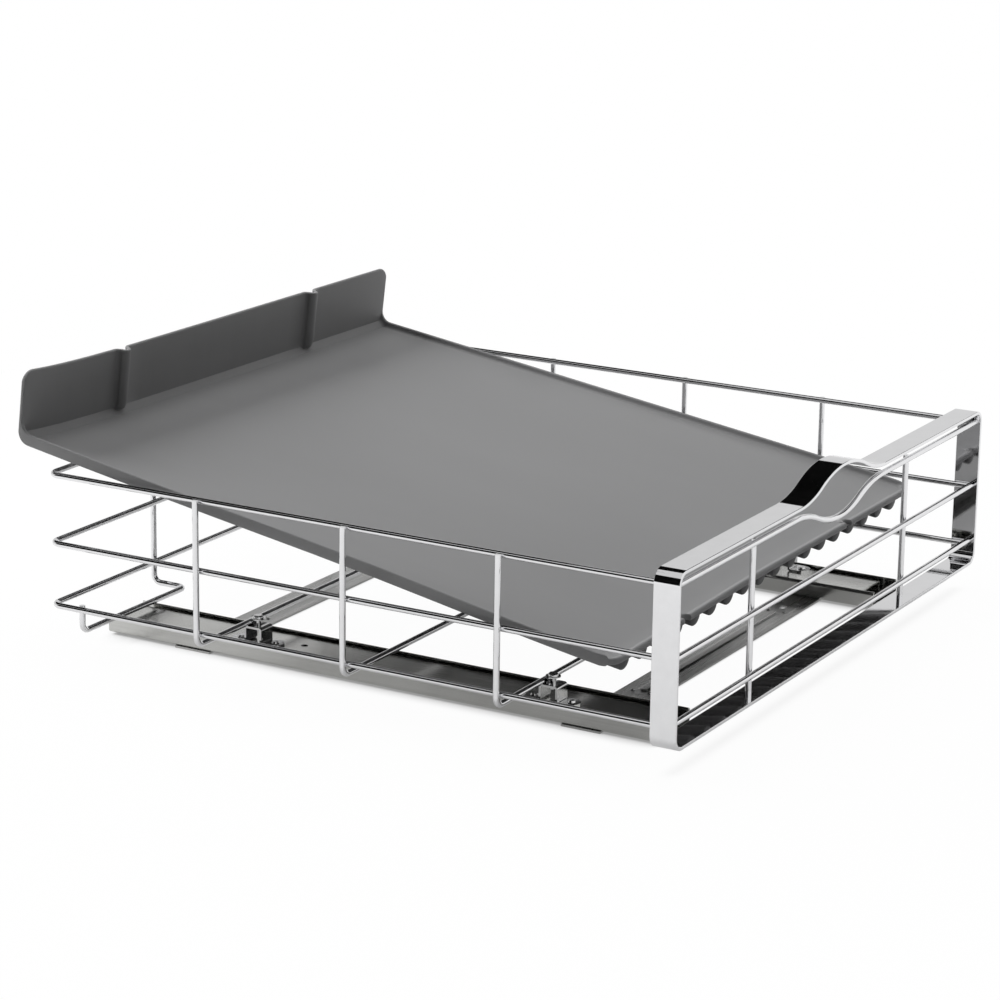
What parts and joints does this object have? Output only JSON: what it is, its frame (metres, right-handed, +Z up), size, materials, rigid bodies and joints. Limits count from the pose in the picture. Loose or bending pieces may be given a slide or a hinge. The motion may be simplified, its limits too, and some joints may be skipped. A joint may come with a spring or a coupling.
{
  "type": "pull-out cabinet organizer",
  "caption": "Chromed wire pull-out basket with a humped front frame on two ball-bearing slides with floor straps, and a ribbed rubber liner laid aslope in it.",
  "frame": {"origin": "centre of the four mounting holes, on the cabinet floor under the straps", "axes": "+X to the right seen from the front, +Y to the back of the cabinet, +Z up; the basket pulls out along -Y"},
  "size_m": [0.5118, 0.5344, 0.1953],
  "materials": {
    "chromed_wire": "polished chrome plate on round wire",
    "chromed_strip": "polished chrome plate on flat strip",
    "slide_steel": "satin zinc plate",
    "strap_steel": "satin zinc plate",
    "clamp_steel": "bright zinc plate",
    "screw_steel": "bright nickel plate",
    "cage_steel": "plain rolled steel",
    "ball_steel": "ground bearing steel",
    "liner_rubber": "matt moulded rubber"
  },
  "bodies": {
    "base": {"left_outer_rail": "slide_steel", "right_outer_rail": "slide_steel", "front_cross_strap": "strap_steel", "rear_cross_strap": "strap_steel", "strap_rivets": "strap_steel"},
    "basket": {"front_frame": "chromed_strip", "grip_wire": "chromed_wire", "front_mid_wire": "chromed_wire", "front_low_wire": "chromed_wire", "left_front_upright": "chromed_wire", "right_front_upright": "chromed_wire", "top_rim_wire": "chromed_wire", "mid_rim_wire": "chromed_wire", "low_rim_wire": "chromed_wire", "front_cross_wire": "chromed_wire", "middle_cross_wire": "chromed_wire", "rear_cross_wire": "chromed_wire", "left_corner_wire": "chromed_wire", "right_corner_wire": "chromed_wire", "left_inner_rail": "slide_steel", "right_inner_rail": "slide_steel", "left_front_clamp": "clamp_steel", "left_rear_clamp": "clamp_steel", "right_front_clamp": "clamp_steel", "right_rear_clamp": "clamp_steel", "clamp_screws": "screw_steel", "clamp_rivets": "clamp_steel"},
    "left_cage": {"left_ball_cage": "cage_steel", "left_balls": "ball_steel"},
    "right_cage": {"right_ball_cage": "cage_steel", "right_balls": "ball_steel"},
    "liner": {"liner": "liner_rubber"}
  },
  "joints": [
    {"name": "basket_slide", "type": "slide", "parent": "base", "child": "basket", "axis": [0, -1, 0], "range_m": [0, 0.34]},
    {"name": "left_cage_roll", "type": "slide", "parent": "base", "child": "left_cage", "axis": [0, -1, 0], "range_m": [0, 0.17]},
    {"name": "right_cage_roll", "type": "slide", "parent": "base", "child": "right_cage", "axis": [0, -1, 0], "range_m": [0, 0.17]},
    {"name": "liner_lift", "type": "slide", "parent": "basket", "child": "liner", "axis": [0, 0, 1], "range_m": [0, 0.1]}
  ],
  "couplings": [
    {"joint": "left_cage_roll", "follows": "basket_slide", "ratio": 0.5},
    {"joint": "right_cage_roll", "follows": "basket_slide", "ratio": 0.5}
  ]
}
